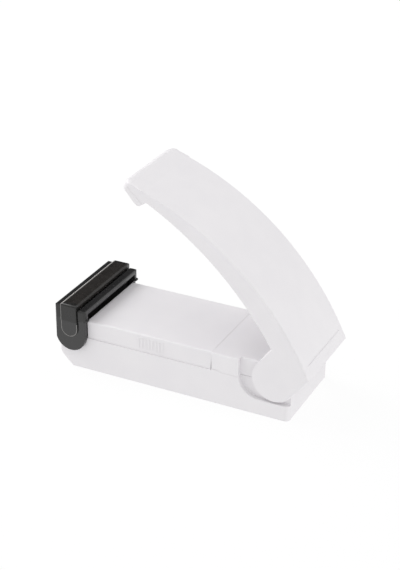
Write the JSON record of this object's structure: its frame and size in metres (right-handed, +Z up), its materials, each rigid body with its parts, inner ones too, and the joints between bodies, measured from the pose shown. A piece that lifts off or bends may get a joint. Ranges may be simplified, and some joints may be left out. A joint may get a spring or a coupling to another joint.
{
  "type": "handheld bag sealer",
  "caption": "Battery bag sealer: a sprung curved lever hinged at the rear closes on a heated bar in a two-lobed head at the front, over a housing with a sliding battery cover.",
  "frame": {"origin": "middle of the flat underside, at the base's mid-length", "axes": "+X from the sealing head to the hinge, +Y across the housing, +Z up"},
  "size_m": [0.1161, 0.0474, 0.0922],
  "materials": {
    "white_plastic": "satin moulded",
    "black_plastic": "satin moulded",
    "tape": "woven non-stick tape",
    "silicone": "matt",
    "insulation": "matt",
    "ribbon": "rolled",
    "steel": "drawn wire, plated",
    "brass": "rolled sheet",
    "cell_jacket": "plain jacket"
  },
  "bodies": {
    "base": {"base_shell": "white_plastic", "rear_cover": "white_plastic", "head_frame": "black_plastic", "case_screws": "steel", "cell_left": "cell_jacket", "cell_right": "cell_jacket", "positive_contact": "brass", "negative_contact": "brass", "negative_spring": "steel", "series_link": "brass", "link_spring": "steel", "bar_springs": "steel", "torsion_spring": "steel"},
    "lever": {"lever_shell": "white_plastic", "jaw_block": "white_plastic", "presser_pad": "silicone", "hinge_pin": "steel"},
    "bar": {"heater_bar": "black_plastic", "insulation_strip": "insulation", "heating_ribbon": "ribbon", "nonstick_tape": "tape", "ribbon_terminals": "brass", "terminal_rivets": "brass"},
    "cover": {"battery_cover": "white_plastic"}
  },
  "joints": [
    {"name": "lever_hinge", "type": "hinge", "parent": "base", "child": "lever", "pos_m": [0.0475, 0, 0.0182], "axis": [0, -1, 0], "range_deg": [0, 38], "stiffness_Nm_per_rad": 0.06, "springref_deg": -28.65, "deforming": ["torsion_spring"]},
    {"name": "bar_press", "type": "slide", "parent": "base", "child": "bar", "axis": [0, 0, -1], "range_m": [0, 0.001], "stiffness_N_per_m": 40, "springref_m": -0.001, "deforming": ["bar_springs"]},
    {"name": "cover_slide", "type": "slide", "parent": "base", "child": "cover", "axis": [-1, 0, 0], "range_m": [0, 0.0027]}
  ],
  "couplings": [
    {"joint": "bar_press", "follows": "lever_hinge", "m_per_rad": 0.0015078}
  ]
}
